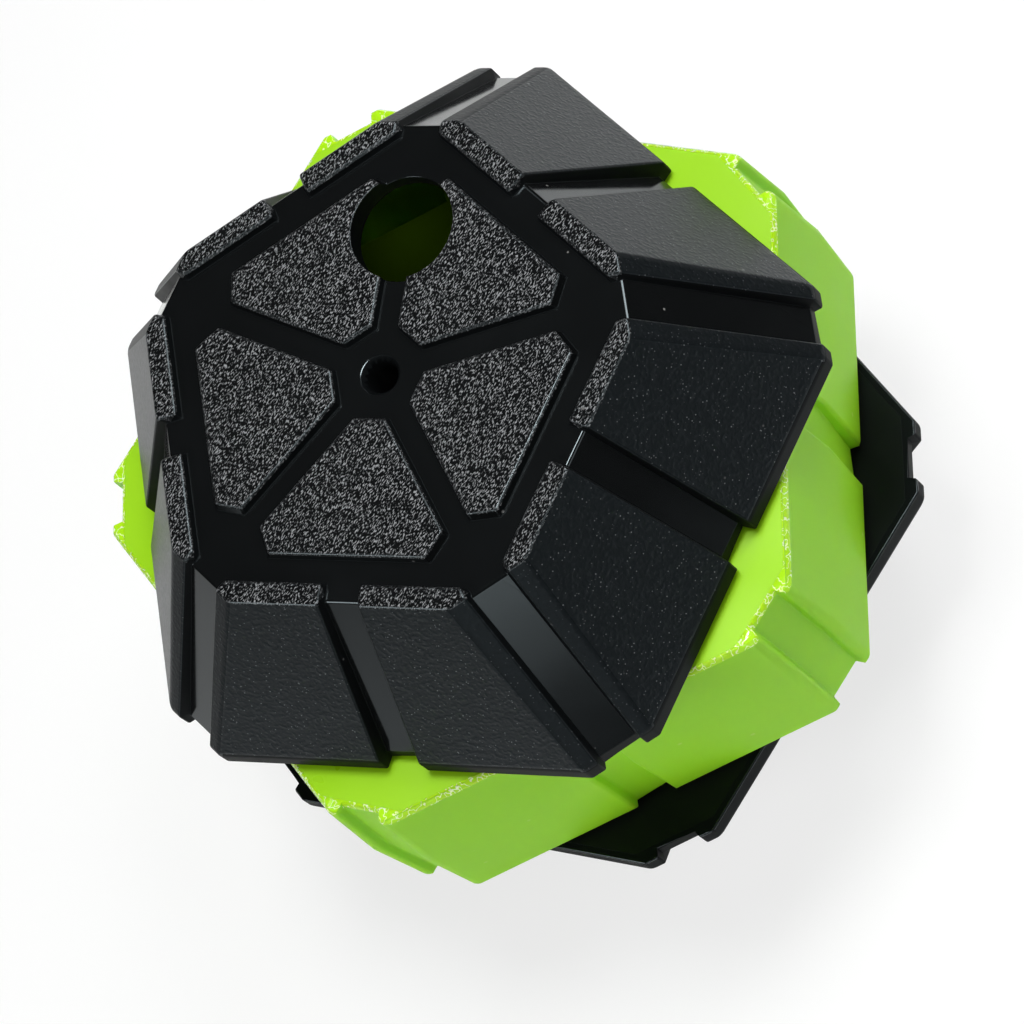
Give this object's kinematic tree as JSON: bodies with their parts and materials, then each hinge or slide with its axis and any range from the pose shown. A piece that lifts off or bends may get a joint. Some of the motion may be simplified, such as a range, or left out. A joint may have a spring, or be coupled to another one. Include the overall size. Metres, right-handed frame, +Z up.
{
  "type": "dog treat puzzle",
  "caption": "Ball-like pentagonal treat puzzle for dogs: black end shells and a lime ring twist on a centre post to line up treat holes.",
  "frame": {"origin": "on the post axis, in the plane that the lower shell stands on", "axes": "+Z up along the post, toward the top shell; -Y is the side nearest the picture"},
  "size_m": [0.15, 0.152, 0.1249],
  "materials": {
    "black_grain": "moulded grain on the panels and pads, smooth grooves",
    "black_gloss": "smooth gloss",
    "lime_satin": "satin",
    "lime_gloss": "semi-gloss",
    "post_plastic": "smooth satin",
    "screw_steel": "zinc plated",
    "washer_steel": "zinc plated",
    "slip_plastic": "smooth natural nylon"
  },
  "bodies": {
    "base": {"bottom_shell": "black_grain", "bottom_deck": "black_gloss", "axle_post": "post_plastic", "top_screw": "screw_steel", "bottom_screw": "screw_steel", "top_washer": "washer_steel", "bottom_washer": "washer_steel", "lower_thrust_washer": "slip_plastic"},
    "middle": {"mid_ring": "lime_satin", "mid_deck": "lime_gloss", "upper_thrust_washer": "slip_plastic"},
    "top": {"top_shell": "black_grain", "top_floor": "black_gloss"}
  },
  "joints": [
    {"name": "middle_twist", "type": "hinge", "parent": "base", "child": "middle", "pos_m": [0, 0, 0.0625], "axis": [0, 0, 1], "continuous": true},
    {"name": "top_twist", "type": "hinge", "parent": "middle", "child": "top", "pos_m": [0, 0, 0.1045], "axis": [0, 0, 1], "continuous": true}
  ]
}
